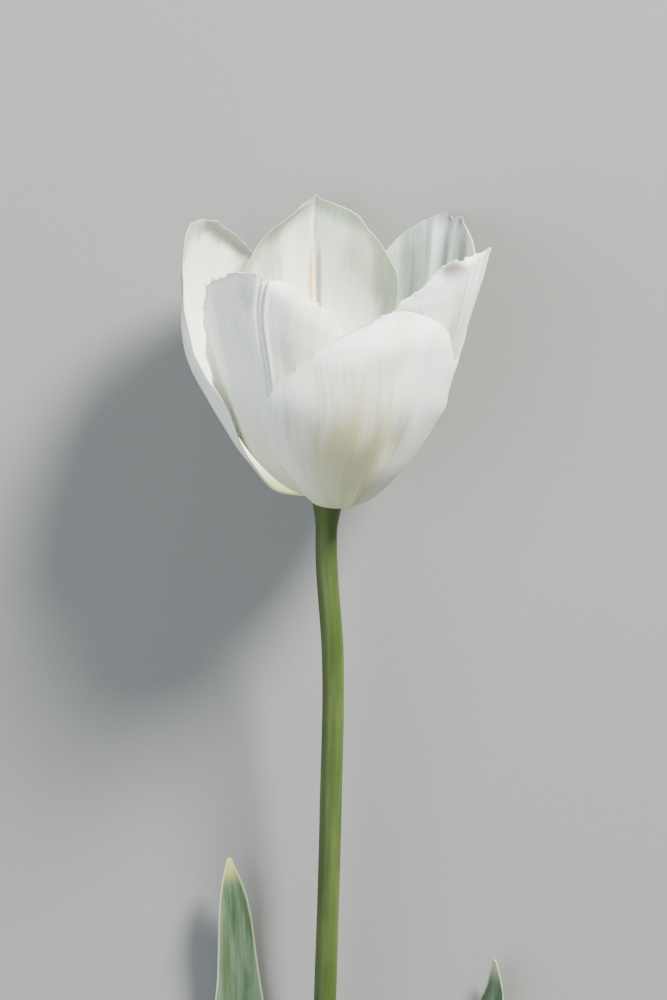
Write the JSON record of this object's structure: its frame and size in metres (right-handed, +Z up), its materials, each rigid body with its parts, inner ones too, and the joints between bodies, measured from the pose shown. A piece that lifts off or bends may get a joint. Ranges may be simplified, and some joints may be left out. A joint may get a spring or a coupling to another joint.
{
  "type": "cut tulip flower",
  "caption": "Single cut tulip lying on its back: a half-open cup of broad petals on a slim round stem, with two long channelled leaves clasping the stem.",
  "frame": {"origin": "on the table under the middle of the whole flower", "axes": "+Y from the cut end of the stem towards the bloom, +Z up from the table"},
  "size_m": [0.0864, 0.3711, 0.0698],
  "materials": {
    "petal": "matte, slightly translucent",
    "stem": "smooth, waxy",
    "leaf": "smooth, waxy bloom",
    "pistil": "smooth, with a matte stigma",
    "stamen": "powdery"
  },
  "bodies": {
    "root": {"petal_outer_front": "petal", "petal_inner_front_left": "petal", "petal_outer_left": "petal", "petal_inner_back": "petal", "petal_outer_back_right": "petal", "petal_inner_right": "petal", "stem": "stem", "pistil": "pistil", "stamen_1": "stamen", "stamen_2": "stamen", "stamen_3": "stamen", "stamen_4": "stamen", "stamen_5": "stamen", "stamen_6": "stamen", "leaf_left": "leaf", "leaf_right": "leaf"}
  },
  "joints": []
}
